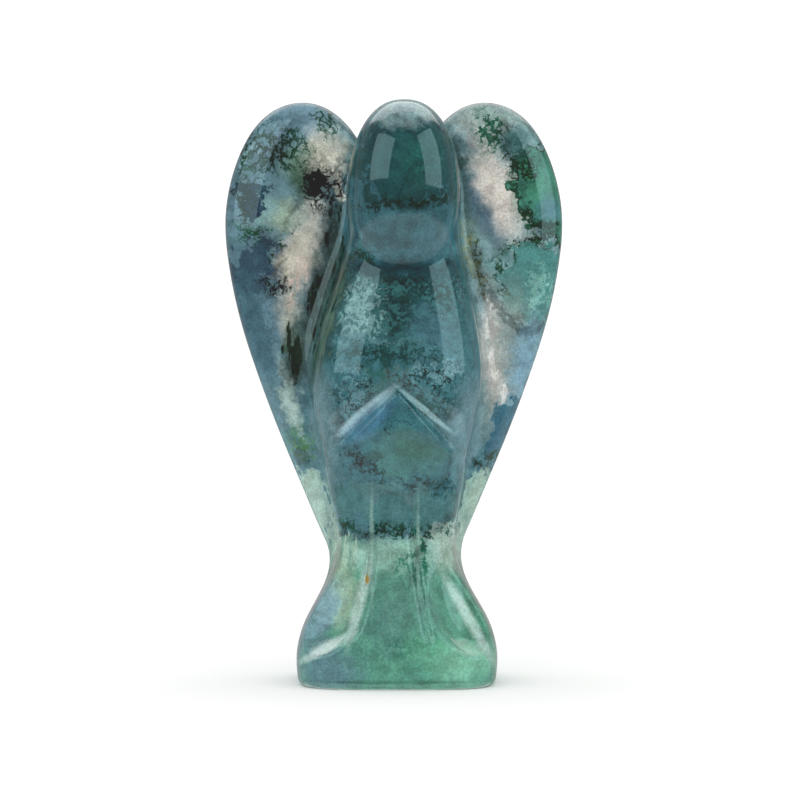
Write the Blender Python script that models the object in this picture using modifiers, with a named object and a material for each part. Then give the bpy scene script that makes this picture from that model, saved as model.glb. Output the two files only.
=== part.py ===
"""Angel figurine carved from one pebble of moss agate.

The whole angel is one solid stone: a flared gown, a torso with praying hands cut into it, a bowed head
and a pair of leaf-shaped wings behind. Each form is first blocked out from a sphere, the blanks are
merged by a voxel remesh, and the skin is then ground down to the blended form, as a carver would.
Z is up, the angel faces -Y, and the origin is the middle of the flat underside.
"""

from collections import namedtuple

import bmesh
import bpy
import numpy as np

MM = 0.001

# Driving sizes
HEIGHT = 50.0 * MM
WING_SPAN = 29.2 * MM
WING_THICKNESS = 5.5 * MM
HEAD_WIDTH = 9.7 * MM
HEAD_DEPTH = 10.8 * MM
HEAD_LENGTH = 14.8 * MM
NECK_WIDTH = 9.6 * MM
BODY_WIDTH = 14.6 * MM
BODY_DEPTH = 12.6 * MM
WAIST_WIDTH = 10.3 * MM
WAIST_DEPTH = 9.8 * MM
HEM_WIDTH = 17.25 * MM
HEM_DEPTH = 15.4 * MM
LEAN = 0.7 * MM  # how far the head leans to the angel's left
WING_OFFSET = -0.2 * MM  # where the pair of wings is centred, a little to the angel's right
HEM_OFFSET = 0.07 * MM  # where the hem is centred, a little to the angel's left

# Cuts
HAND_CUT_DEPTH = 0.7 * MM
HAND_CUT_WIDTH = 2.1 * MM  # the long bevel above each forearm
HAND_CUT_WALL = 1.0 * MM  # the steep wall under it
HAND_CUT_SWEEP = 1.5  # 1 is a straight bevel, more is a hollow one
HAND_CUT_RUN_OUT = (0.7, 1.1)  # where a cut fades away, as shares of the forearm down from the fingertips
HAND_CUT_RUN_IN = 0.1  # how far above the fingertips it starts, in the same shares
HAND_RISE = 0.35 * MM  # how far the hands stand proud
HAND_WIDTH = 2.9 * MM
FINGER_GROOVE = 0.9 * MM  # width of the parting above the hands
FLUTE_WIDTH = 1.7 * MM
FLUTE_DEPTH = 0.5 * MM
FLUTE_RUN_OUT = 0.035 * HEIGHT  # how far past each end a flute fades away

# Rounding
BODY_FILLET = 1.6 * MM
NECK_FILLET = 1.3 * MM
SCOOP_ROUND = 0.35 * MM
EDGE_ROUND = 0.55 * MM

# Mesh
BLANK_SEGMENTS = (40, 28)  # round and up the sphere that each blank starts from
BLANK_VOXEL = 0.8 * MM
SKIN_VOXEL = 0.36 * MM
TRIANGLES = 9600
PROBE = 0.01 * MM  # step for reading a form's slope
LONGEST_STEP = 0.6 * MM  # how far one pass may move a point of the skin
GENTLEST_SLOPE = 0.02  # below this the slope's square is too small to divide by
BISECTIONS = 24
ROUGH_PASSES = 6  # over a new skin
FINE_PASSES = 2  # after each small change to it
EVENING_ROUNDS = 3
TINY = 1e-12

AGATE = (0.10, 0.24, 0.25, 1.0)
POLISH = 0.06  # roughness

# The body's cross-sections, bottom to top: height, half width, how far the front and the back stand
# from the middle, and how square the section is (2 is an ellipse).
Section = namedtuple("Section", "height half_width front back squareness")
BODY_SECTIONS = (
    Section(0.000 * HEIGHT, 0.490 * HEM_WIDTH, 0.490 * HEM_DEPTH, 0.490 * HEM_DEPTH, 3.8),
    Section(0.050 * HEIGHT, 0.500 * HEM_WIDTH, 0.500 * HEM_DEPTH, 0.500 * HEM_DEPTH, 3.8),
    Section(0.112 * HEIGHT, 0.448 * HEM_WIDTH, 0.478 * HEM_DEPTH, 0.460 * HEM_DEPTH, 3.4),
    Section(0.180 * HEIGHT, 0.566 * WAIST_WIDTH, 0.600 * WAIST_DEPTH, 0.560 * WAIST_DEPTH, 3.0),
    Section(0.245 * HEIGHT, 0.492 * WAIST_WIDTH, 0.540 * WAIST_DEPTH, 0.500 * WAIST_DEPTH, 2.8),
    Section(0.310 * HEIGHT, 0.535 * WAIST_WIDTH, 0.550 * WAIST_DEPTH, 0.500 * WAIST_DEPTH, 2.7),
    Section(0.400 * HEIGHT, 0.435 * BODY_WIDTH, 0.485 * BODY_DEPTH, 0.420 * BODY_DEPTH, 2.6),
    Section(0.515 * HEIGHT, 0.500 * BODY_WIDTH, 0.530 * BODY_DEPTH, 0.450 * BODY_DEPTH, 2.7),
    Section(0.600 * HEIGHT, 0.468 * BODY_WIDTH, 0.505 * BODY_DEPTH, 0.450 * BODY_DEPTH, 2.8),
    Section(0.670 * HEIGHT, 0.410 * BODY_WIDTH, 0.455 * BODY_DEPTH, 0.440 * BODY_DEPTH, 2.7),
    Section(0.740 * HEIGHT, 0.520 * NECK_WIDTH, 0.390 * BODY_DEPTH, 0.400 * BODY_DEPTH, 2.5),
    Section(0.800 * HEIGHT, 0.420 * NECK_WIDTH, 0.320 * BODY_DEPTH, 0.330 * BODY_DEPTH, 2.3),
)
BODY_TOP = 0.79 * HEIGHT
BODY_HEART_Z = 0.45 * HEIGHT

# Where the body's middle line runs sideways, from the hem up to the crown
LEAN_LINE = (
    (0.00 * HEIGHT, HEM_OFFSET), (0.14 * HEIGHT, HEM_OFFSET), (0.24 * HEIGHT, 0.0),
    (0.48 * HEIGHT, 0.0), (0.74 * HEIGHT, 0.8 * LEAN), (1.00 * HEIGHT, LEAN),
)

# The head is an egg, pointed end up, bowed over the chest.
HEAD_BOW = np.radians(9.0)
HEAD_CENTRE_Z = 0.854 * HEIGHT
HEAD_FORWARD = 0.155 * BODY_DEPTH
HEAD_SQUARENESS = 2.3
HEAD_TAPER = 0.10  # how much narrower the crown is than the jaw

# One wing seen from the front: distance from the middle plane as a share of the half span, and height
WING_OUTLINE = tuple(
    (reach * 0.5 * WING_SPAN, height * HEIGHT)
    for reach, height in (
        (0.565, 0.9965), (0.790, 0.965), (0.940, 0.888), (1.000, 0.800), (0.980, 0.715), (0.912, 0.620),
        (0.802, 0.520), (0.665, 0.415), (0.518, 0.312), (0.383, 0.222), (0.275, 0.172), (0.140, 0.235),
        (0.040, 0.360), (0.005, 0.520), (0.010, 0.700), (0.070, 0.835), (0.195, 0.925), (0.370, 0.982),
    )
)
WING_HEART_SHARE = 0.46  # of the half span
WING_HEART = (WING_HEART_SHARE * 0.5 * WING_SPAN, 0.665 * HEIGHT)
WING_EDGE = 3.3  # 2 is a lens, more is a slab with round edges
WING_SET_BACK = 0.32 * BODY_DEPTH
WING_SWEEP = 0.03 * BODY_DEPTH  # how much further back the tips stand than the roots

# The scoops that shape the gown's folds, one at each front corner above the hem
SCOOP_CENTRE = (0.410 * HEM_WIDTH, -0.540 * HEM_DEPTH, 0.176 * HEIGHT)
SCOOP_RADII = (0.280 * HEM_WIDTH, 0.330 * HEM_DEPTH, 0.130 * HEIGHT)
SCOOP_SPLAY = np.radians(15.0)

# The praying hands: a chevron of two forearms under a short parting of the fingertips
HANDS_TOP = (0.007 * BODY_WIDTH, 0.517 * HEIGHT)
ELBOWS = ((-0.330 * BODY_WIDTH, 0.415 * HEIGHT), (0.335 * BODY_WIDTH, 0.410 * HEIGHT))
FINGERTIPS_Z = 0.555 * HEIGHT
KNUCKLES_Z = 0.547 * HEIGHT  # where the hands begin to stand proud
HANDS_FOOT_Z = 0.347 * HEIGHT  # where they have sunk back into the gown
FRONT_FACE = (-0.16 * BODY_DEPTH, -0.04 * BODY_DEPTH)  # cuts fade out between these, going back

# The two flutes that run down the gown's front
FLUTES = (
    ((-0.120 * HEM_WIDTH, 0.338 * HEIGHT), (-0.112 * HEM_WIDTH, 0.256 * HEIGHT),
     (-0.140 * HEM_WIDTH, 0.170 * HEIGHT), (-0.222 * HEM_WIDTH, 0.076 * HEIGHT)),
    ((0.072 * HEM_WIDTH, 0.338 * HEIGHT), (0.085 * HEM_WIDTH, 0.248 * HEIGHT),
     (0.120 * HEM_WIDTH, 0.162 * HEIGHT), (0.172 * HEM_WIDTH, 0.068 * HEIGHT)),
)


def natural_spline(knots, values, at):
    """The smooth curve through the knots, read at the given places."""
    knots, values = np.asarray(knots, float), np.asarray(values, float)
    gaps, rises = np.diff(knots), np.diff(values)
    count = len(knots)
    matrix, right = np.eye(count), np.zeros(count)
    for i in range(1, count - 1):
        matrix[i, i - 1 : i + 2] = gaps[i - 1], 2 * (gaps[i - 1] + gaps[i]), gaps[i]
        right[i] = 6 * (rises[i] / gaps[i] - rises[i - 1] / gaps[i - 1])
    bend = np.linalg.solve(matrix, right)
    at = np.clip(at, knots[0], knots[-1])
    i = np.clip(np.searchsorted(knots, at) - 1, 0, count - 2)
    gap, left, rest = gaps[i], at - knots[i], knots[i + 1] - at
    return (
        (bend[i] * rest**3 + bend[i + 1] * left**3) / (6 * gap)
        + (values[i] / gap - bend[i] * gap / 6) * rest
        + (values[i + 1] / gap - bend[i + 1] * gap / 6) * left
    )


def blended_union(a, b, fillet):
    """Two forms merged, with a fillet where they meet."""
    share = np.clip(0.5 + 0.5 * (b - a) / fillet, 0.0, 1.0)
    return b + (a - b) * share - fillet * share * (1.0 - share)


def blended_cut(form, cutter, rounding):
    """A form with a cutter taken away, and the edge of the cut rounded."""
    return -blended_union(-form, cutter, rounding)


def turned(along, across, angle):
    """Two coordinates after a turn by an angle."""
    return along * np.cos(angle) - across * np.sin(angle), along * np.sin(angle) + across * np.cos(angle)


def lean_at(z):
    """How far the middle line stands to one side at a height."""
    heights, offsets = zip(*LEAN_LINE)
    return natural_spline(heights, offsets, z)


def body_form(x, y, z):
    """Gown and torso: negative inside, zero on the surface, in metres."""
    columns = {name: [getattr(s, name) for s in BODY_SECTIONS] for name in Section._fields}
    width, front, back, square = (
        natural_spline(columns["height"], columns[name], z) for name in Section._fields[1:]
    )
    depth, middle = 0.5 * (front + back), 0.5 * (back - front)
    across = np.abs((x - lean_at(z)) / width)
    along = np.abs((y - middle) / depth)
    reach = (across**square + along**square + TINY) ** (1.0 / square)
    side = (reach - 1.0) * np.minimum(width, depth)
    return -blended_union(-side, BODY_TOP - z, BODY_FILLET)


def head_form(x, y, z):
    """The bowed head."""
    up, forward = turned(z - HEAD_CENTRE_Z, y + HEAD_FORWARD, HEAD_BOW)
    taper = 1.0 - HEAD_TAPER * up / (0.5 * HEAD_LENGTH)
    parts = (
        (x - lean_at(z)) / (0.5 * HEAD_WIDTH * taper),
        forward / (0.5 * HEAD_DEPTH * taper),
        up / (0.5 * HEAD_LENGTH),
    )
    reach = (sum(np.abs(p) ** HEAD_SQUARENESS for p in parts) + TINY) ** (1.0 / HEAD_SQUARENESS)
    return (reach - 1.0) * 0.5 * HEAD_WIDTH


def wing_reach(angle):
    """The wing outline's distance from its heart in each direction."""
    offsets = np.array(WING_OUTLINE) - WING_HEART
    angles = np.arctan2(offsets[:, 1], offsets[:, 0])
    order = np.argsort(angles)
    angles, reaches = angles[order], np.hypot(*offsets.T)[order]
    turn, wrap = 2 * np.pi, 4  # a few points repeated past each end make the curve close smoothly
    angles = np.concatenate([angles[-wrap:] - turn, angles, angles[:wrap] + turn])
    reaches = np.concatenate([reaches[-wrap:], reaches, reaches[:wrap]])
    return 1.0 / natural_spline(angles, 1.0 / reaches, angle)


def wing_form(x, y, z):
    """Both wings, mirrored in the plane between them."""
    from_middle = np.abs(x - WING_OFFSET)
    across, up = from_middle - WING_HEART[0], z - WING_HEART[1]
    outward = np.hypot(across, up) / wing_reach(np.arctan2(up, across))
    tip_share = from_middle / (0.5 * WING_SPAN)
    middle = WING_SET_BACK + WING_SWEEP * tip_share**2
    through = np.abs(y - middle) / (0.5 * WING_THICKNESS)
    reach = (outward**WING_EDGE + through**WING_EDGE + TINY) ** (1.0 / WING_EDGE)
    return (reach - 1.0) * 0.5 * WING_THICKNESS


def scoop_form(x, y, z):
    """The pair of cutters that hollow the gown's front corners."""
    across = np.abs(x) - SCOOP_CENTRE[0]
    up, across = turned(z - SCOOP_CENTRE[2], across, SCOOP_SPLAY)
    parts = across / SCOOP_RADII[0], (y - SCOOP_CENTRE[1]) / SCOOP_RADII[1], up / SCOOP_RADII[2]
    return (np.sqrt(sum(p**2 for p in parts)) - 1.0) * min(SCOOP_RADII)


def beside_line(x, z, start, end):
    """Where a point stands along a line, from 0 to 1, and how far it is to the line's upper side."""
    run, rise = end[0] - start[0], end[1] - start[1]
    length = np.hypot(run, rise)
    share = ((x - start[0]) * run + (z - start[1]) * rise) / length**2
    above = ((z - start[1]) * abs(run) - (x - start[0]) * rise * np.sign(run)) / length
    return share, above


def fade(value, start, end):
    """1 before start, 0 past end, and smooth between them."""
    share = np.clip((value - start) / (end - start), 0.0, 1.0)
    return 1.0 - share * share * (3.0 - 2.0 * share)


def hump(value, start, end):
    """A smooth rise from 0 at start to 1 halfway, and back to 0 at end."""
    middle = 0.5 * (start + end)
    return fade(np.abs(value - middle), 0.0, middle - start)


def hand_cuts(x, z):
    """How deep the praying hands are cut at a place on the front, negative where they stand proud."""
    chevron = np.zeros_like(x)
    for elbow in ELBOWS:
        share, above = beside_line(x, z, HANDS_TOP, elbow)
        bevel = np.clip(1.0 - above / HAND_CUT_WIDTH, 0.0, 1.0) ** HAND_CUT_SWEEP
        wall = fade(-above, 0.0, HAND_CUT_WALL)
        run_out = fade(share, *HAND_CUT_RUN_OUT) * fade(-share, 0.0, HAND_CUT_RUN_IN)
        chevron = np.maximum(chevron, np.where(above > 0, bevel, wall) * run_out)
    top_x, top_z = HANDS_TOP
    parting = np.exp(-(((x - top_x) / (0.5 * FINGER_GROOVE)) ** 2)) * hump(z, top_z, FINGERTIPS_Z)
    hands = np.exp(-(((x - top_x) / HAND_WIDTH) ** 2)) * hump(z, HANDS_FOOT_Z, KNUCKLES_Z)
    return HAND_CUT_DEPTH * chevron + FLUTE_DEPTH * parting - HAND_RISE * hands


def flute_cuts(x, z):
    """How deep the gown's two flutes are at a place on the front."""
    depth = np.zeros_like(x)
    for flute in FLUTES:
        across, up = zip(*flute[::-1])
        away = np.abs(x - natural_spline(up, across, z))
        run_out = fade(z, up[-1] - FLUTE_RUN_OUT, up[-1]) * fade(-z, -up[0] - FLUTE_RUN_OUT, -up[0])
        depth = np.maximum(depth, FLUTE_DEPTH * fade(away, 0.0, 0.5 * FLUTE_WIDTH) * run_out)
    return depth


def angel_form(x, y, z):
    """The whole angel: negative inside the stone, zero on its surface."""
    gown = body_form(x, y, z) + (hand_cuts(x, z) + flute_cuts(x, z)) * fade(y, *FRONT_FACE)
    gown = blended_cut(gown, scoop_form(x, y, z), SCOOP_ROUND)
    angel = blended_union(gown, wing_form(x, y, z), BODY_FILLET)
    angel = blended_union(angel, head_form(x, y, z), NECK_FILLET)
    return -blended_union(-angel, z, EDGE_ROUND)


def slope_of(form, points):
    """The direction in which a form's value grows at each point."""
    slope = np.empty_like(points)
    for axis in range(3):
        step = np.zeros(3)
        step[axis] = PROBE
        slope[:, axis] = form(*(points + step).T) - form(*(points - step).T)
    return slope / (2 * PROBE)


def ground_to(form, points, passes):
    """Points moved onto a form's surface, a small step at a time."""
    for _ in range(passes):
        slope = slope_of(form, points)
        step = (form(*points.T) / np.maximum((slope**2).sum(1), GENTLEST_SLOPE))[:, None] * slope
        length = np.linalg.norm(step, axis=1, keepdims=True)
        points = points - step * np.minimum(1.0, LONGEST_STEP / np.maximum(length, TINY))
    return points


def points_of(mesh):
    """A mesh's vertices as an array."""
    points = np.empty(len(mesh.vertices) * 3, np.float32)
    mesh.vertices.foreach_get("co", points)
    return points.reshape(-1, 3).astype(float)


def set_points(mesh, points):
    """Gives a mesh's vertices new places."""
    mesh.vertices.foreach_set("co", points.astype(np.float32).ravel())
    mesh.update()


def grind(mesh, form):
    """Moves a mesh's vertices onto a form, evening out their spacing on the way."""
    points = ground_to(form, points_of(mesh), passes=ROUGH_PASSES)
    ends = np.array([edge.vertices[:] for edge in mesh.edges])
    here, there = np.concatenate([ends, ends[:, ::-1]]).T
    neighbours = np.bincount(here, minlength=len(points))[:, None]
    for _ in range(EVENING_ROUNDS):
        around = np.stack([np.bincount(here, points[there, axis], len(points)) for axis in range(3)], 1)
        points = ground_to(form, 0.5 * (points + around / neighbours), passes=FINE_PASSES)
    set_points(mesh, points)


def blank(form, heart, reach):
    """A sphere whose points are pushed out from the heart to the form's surface."""
    shape = bmesh.new()
    round_it, up_it = BLANK_SEGMENTS
    bmesh.ops.create_uvsphere(shape, u_segments=round_it, v_segments=up_it, radius=1.0)
    rays = np.array([vert.co for vert in shape.verts])
    near, far = np.zeros(len(rays)), np.full(len(rays), reach)
    for _ in range(BISECTIONS):
        half = 0.5 * (near + far)
        inside = form(*(np.array(heart) + rays * half[:, None]).T) < 0
        near, far = np.where(inside, half, near), np.where(inside, far, half)
    for vert, place in zip(shape.verts, np.array(heart) + rays * near[:, None]):
        vert.co = place
    return shape


def blocked_out():
    """The four blanks, joined in one mesh."""
    wing_middle = WING_SET_BACK + WING_SWEEP * WING_HEART_SHARE**2

    def right_wing(x, y, z):
        return np.where(x > 0, wing_form(x, y, z), HEIGHT)

    def left_wing(x, y, z):
        return np.where(x < 0, wing_form(x, y, z), HEIGHT)

    def standing_body(x, y, z):
        return np.maximum(body_form(x, y, z), -z)

    joined = bpy.data.meshes.new("angel_blank")
    whole = bmesh.new()
    for form, heart in (
        (standing_body, (0.0, 0.0, BODY_HEART_Z)),
        (head_form, (LEAN, -HEAD_FORWARD, HEAD_CENTRE_Z)),
        (right_wing, (WING_HEART[0], wing_middle, WING_HEART[1])),
        (left_wing, (-WING_HEART[0], wing_middle, WING_HEART[1])),
    ):
        shape = blank(form, heart, HEIGHT)
        shape.to_mesh(joined)
        shape.free()
        whole.from_mesh(joined)
    whole.to_mesh(joined)
    whole.free()
    return joined


def with_modifier(mesh, kind, **settings):
    """A copy of a mesh after one modifier."""
    holder = bpy.data.objects.new("holder", mesh)
    bpy.context.scene.collection.objects.link(holder)
    modifier = holder.modifiers.new(kind, kind)
    for name, value in settings.items():
        setattr(modifier, name, value)
    graph = bpy.context.evaluated_depsgraph_get()
    changed = bpy.data.meshes.new_from_object(holder.evaluated_get(graph))
    bpy.data.objects.remove(holder)
    return changed


def agate_material():
    """Polished blue-green agate."""
    material = bpy.data.materials.new("moss_agate")
    material.use_nodes = True
    shader = material.node_tree.nodes["Principled BSDF"]
    shader.inputs["Base Color"].default_value = AGATE
    shader.inputs["Roughness"].default_value = POLISH
    shader.inputs["Metallic"].default_value = 0.0
    return material


def carve_angel():
    """The finished stone."""
    skin = blocked_out()
    for voxel in (BLANK_VOXEL, SKIN_VOXEL):
        skin = with_modifier(skin, "REMESH", mode="VOXEL", voxel_size=voxel)
        grind(skin, angel_form)
    skin.calc_loop_triangles()
    skin = with_modifier(skin, "DECIMATE", ratio=TRIANGLES / len(skin.loop_triangles))
    set_points(skin, ground_to(angel_form, points_of(skin), passes=FINE_PASSES))
    skin.name = "angel"
    skin.shade_smooth()
    angel = bpy.data.objects.new("angel", skin)
    angel.data.materials.append(agate_material())
    collection = bpy.data.collections.new("angel_figurine")
    bpy.context.scene.collection.children.link(collection)
    collection.objects.link(angel)


def main():
    """Clears the file and carves the angel in it."""
    for thing in list(bpy.data.objects):
        bpy.data.objects.remove(thing)
    carve_angel()


main()
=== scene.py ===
"""Looks of the angel figurine: polished moss agate on a white table under soft boxes.

The stone is carved again here from the same forms as the solid, with a finer skin and crisper cuts. Its
colours are zones placed in the stone: most are its mineral colour, and some are painted highlights and
painted shade on the crown, under the head, along the hands, flutes and scoops and in the crease beside the
left wing.
The moss sealed in it is grown as fine strands.
Z is up and the angel faces -Y. Sizes are in metres.
"""

import logging
from dataclasses import dataclass
from enum import Enum
from functools import partial

import bmesh
import bpy
import numpy as np
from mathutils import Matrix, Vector


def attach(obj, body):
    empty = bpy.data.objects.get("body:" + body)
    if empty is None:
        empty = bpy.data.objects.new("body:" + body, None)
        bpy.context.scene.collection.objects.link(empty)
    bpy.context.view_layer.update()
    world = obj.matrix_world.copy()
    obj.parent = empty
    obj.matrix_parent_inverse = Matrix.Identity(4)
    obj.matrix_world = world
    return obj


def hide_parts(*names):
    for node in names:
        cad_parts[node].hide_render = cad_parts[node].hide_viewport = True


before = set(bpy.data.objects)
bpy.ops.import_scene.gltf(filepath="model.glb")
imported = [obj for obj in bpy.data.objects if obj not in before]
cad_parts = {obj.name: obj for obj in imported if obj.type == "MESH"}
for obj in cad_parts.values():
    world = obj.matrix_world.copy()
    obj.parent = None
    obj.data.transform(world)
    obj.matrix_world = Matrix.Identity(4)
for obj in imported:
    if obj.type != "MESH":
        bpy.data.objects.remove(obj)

LOG = logging.getLogger("angel_figurine")
MM = 0.001
TINY = 1e-12
SWIRL_DETAIL = 4.0
NOISE_SWING = 0.25
DARKEST, PALEST = 0.001, 0.9

Array = np.ndarray
Link = bpy.types.NodeSocket
Tone = tuple[float, float, float, float]


def natural_spline(knots: tuple[float, ...], values: tuple[float, ...], at: Array) -> Array:
    """Read the smooth curve through a row of knots.

    Args:
        knots: Where the values are given, in rising order.
        values: The curve's value at each knot.
        at: Where to read it. Places past either end read the end value.

    Returns:
        The curve's value at each place.
    """
    knots, values = np.asarray(knots, float), np.asarray(values, float)
    gaps, rises = np.diff(knots), np.diff(values)
    count = len(knots)
    matrix, right = np.eye(count), np.zeros(count)
    for i in range(1, count - 1):
        matrix[i, i - 1 : i + 2] = gaps[i - 1], 2 * (gaps[i - 1] + gaps[i]), gaps[i]
        right[i] = 6 * (rises[i] / gaps[i] - rises[i - 1] / gaps[i - 1])
    bend = np.linalg.solve(matrix, right)
    at = np.clip(at, knots[0], knots[-1])
    i = np.clip(np.searchsorted(knots, at) - 1, 0, count - 2)
    gap, left, rest = gaps[i], at - knots[i], knots[i + 1] - at
    return (
        (bend[i] * rest**3 + bend[i + 1] * left**3) / (6 * gap)
        + (values[i] / gap - bend[i] * gap / 6) * rest
        + (values[i + 1] / gap - bend[i + 1] * gap / 6) * left
    )


def fade(value: Array, start: float, end: float) -> Array:
    """Step smoothly from 1 before start to 0 past end.

    Args:
        value: The places to read.
        start: Where the fade begins.
        end: Where it is complete.

    Returns:
        The fade's value at each place.
    """
    share = np.clip((value - start) / (end - start), 0.0, 1.0)
    return 1.0 - share * share * (3.0 - 2.0 * share)


def hump(value: Array, start: float, end: float) -> Array:
    """Rise smoothly from 0 at start to 1 halfway, and sink back to 0 at end.

    Args:
        value: The places to read.
        start: Where the rise begins.
        end: Where the fall is complete.

    Returns:
        The hump's height at each place.
    """
    middle = 0.5 * (start + end)
    return fade(np.abs(value - middle), 0.0, middle - start)


def blended_union(a: Array, b: Array, fillet: float) -> Array:
    """Merge two forms, with a fillet where they meet.

    Args:
        a: One form's values.
        b: The other form's values.
        fillet: The fillet's size.

    Returns:
        The merged form's values.
    """
    share = np.clip(0.5 + 0.5 * (b - a) / fillet, 0.0, 1.0)
    return b + (a - b) * share - fillet * share * (1.0 - share)


def turned(along: Array, across: Array, angle: float) -> tuple[Array, Array]:
    """Turn two coordinates by an angle.

    Args:
        along: The first coordinate.
        across: The second coordinate.
        angle: The turn, in radians.

    Returns:
        Both coordinates after the turn.
    """
    return along * np.cos(angle) - across * np.sin(angle), along * np.sin(angle) + across * np.cos(angle)


def set_points(mesh: bpy.types.Mesh, points: Array) -> None:
    """Give a mesh's vertices new places.

    Args:
        mesh: The mesh to change.
        points: One row of three coordinates for each vertex.
    """
    mesh.vertices.foreach_set("co", points.astype(np.float32).ravel())
    mesh.update()


def points_of(mesh: bpy.types.Mesh) -> Array:
    """Read a mesh's vertices.

    Args:
        mesh: The mesh to read.

    Returns:
        One row of three coordinates for each vertex.
    """
    points = np.empty(len(mesh.vertices) * 3, np.float32)
    mesh.vertices.foreach_get("co", points)
    return points.reshape(-1, 3).astype(float)


@dataclass(frozen=True)
class Section:
    """One cross-section of the gown and torso.

    The front and the back are measured from the middle, and a squareness of 2 makes an ellipse.
    """

    height: float
    half_width: float
    front: float
    back: float
    squareness: float


@dataclass(frozen=True)
class Gown:
    """The flared gown and the torso above it."""

    height: float = 50.0 * MM
    body_width: float = 14.6 * MM
    body_depth: float = 12.6 * MM
    waist_width: float = 10.3 * MM
    waist_depth: float = 9.8 * MM
    neck_width: float = 9.6 * MM
    hem_width: float = 17.25 * MM
    hem_depth: float = 15.4 * MM
    hem_offset: float = 0.07 * MM
    lean: float = 0.7 * MM
    top_fillet: float = 1.6 * MM
    top_share: float = 0.79

    def sections(self) -> tuple[Section, ...]:
        """List the cross-sections, from the hem up to the neck.

        Returns:
            The sections, with heights and half widths in metres.
        """
        tall, hem, deep = self.height, self.hem_width, self.hem_depth
        waist, waist_deep, body, thick = self.waist_width, self.waist_depth, self.body_width, self.body_depth
        return (
            Section(0.000 * tall, 0.490 * hem, 0.490 * deep, 0.490 * deep, 3.8),
            Section(0.050 * tall, 0.500 * hem, 0.500 * deep, 0.500 * deep, 3.8),
            Section(0.112 * tall, 0.448 * hem, 0.478 * deep, 0.460 * deep, 3.4),
            Section(0.180 * tall, 0.566 * waist, 0.600 * waist_deep, 0.560 * waist_deep, 3.0),
            Section(0.245 * tall, 0.492 * waist, 0.540 * waist_deep, 0.500 * waist_deep, 2.8),
            Section(0.310 * tall, 0.535 * waist, 0.550 * waist_deep, 0.500 * waist_deep, 2.7),
            Section(0.400 * tall, 0.435 * body, 0.485 * thick, 0.420 * thick, 2.6),
            Section(0.515 * tall, 0.500 * body, 0.530 * thick, 0.450 * thick, 2.7),
            Section(0.600 * tall, 0.468 * body, 0.505 * thick, 0.450 * thick, 2.8),
            Section(0.670 * tall, 0.410 * body, 0.455 * thick, 0.440 * thick, 2.7),
            Section(0.740 * tall, 0.520 * self.neck_width, 0.390 * thick, 0.400 * thick, 2.5),
            Section(0.800 * tall, 0.420 * self.neck_width, 0.320 * thick, 0.330 * thick, 2.3),
        )

    def lean_at(self, z: Array) -> Array:
        """Find how far the middle line stands to one side.

        Args:
            z: The heights to read.

        Returns:
            The sideways offset at each height.
        """
        heights = tuple(share * self.height for share in (0.0, 0.14, 0.24, 0.48, 0.74, 1.0))
        offsets = (self.hem_offset, self.hem_offset, 0.0, 0.0, 0.8 * self.lean, self.lean)
        return natural_spline(heights, offsets, z)

    def form(self, x: Array, y: Array, z: Array) -> Array:
        """Measure how far points stand from the gown's surface.

        Args:
            x: Sideways places.
            y: Places from front to back.
            z: Heights.

        Returns:
            Distances, negative inside.
        """
        rows = self.sections()
        heights = tuple(row.height for row in rows)
        width, front, back, square = (
            natural_spline(heights, tuple(getattr(row, name) for row in rows), z)
            for name in ("half_width", "front", "back", "squareness")
        )
        depth, middle = 0.5 * (front + back), 0.5 * (back - front)
        across, along = np.abs((x - self.lean_at(z)) / width), np.abs((y - middle) / depth)
        reach = (across**square + along**square + TINY) ** (1.0 / square)
        side = (reach - 1.0) * np.minimum(width, depth)
        return -blended_union(-side, self.top_share * self.height - z, self.top_fillet)


@dataclass(frozen=True)
class Head:
    """The bowed head, a plain egg with its pointed end up and no face."""

    gown: Gown
    width: float = 9.7 * MM
    depth: float = 10.8 * MM
    length: float = 14.8 * MM
    bow: float = np.radians(9.0)
    centre_height: float = 0.854
    forward: float = 0.155
    squareness: float = 2.3
    taper: float = 0.10

    def form(self, x: Array, y: Array, z: Array) -> Array:
        """Measure how far points stand from the head's surface.

        Args:
            x: Sideways places.
            y: Places from front to back.
            z: Heights.

        Returns:
            Distances, negative inside.
        """
        centre_z = self.centre_height * self.gown.height
        up, ahead = turned(z - centre_z, y + self.forward * self.gown.body_depth, self.bow)
        taper = 1.0 - self.taper * up / (0.5 * self.length)
        parts = (
            (x - self.gown.lean_at(z)) / (0.5 * self.width * taper),
            ahead / (0.5 * self.depth * taper),
            up / (0.5 * self.length),
        )
        reach = (sum(np.abs(p) ** self.squareness for p in parts) + TINY) ** (1.0 / self.squareness)
        return (reach - 1.0) * 0.5 * self.width


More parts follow.
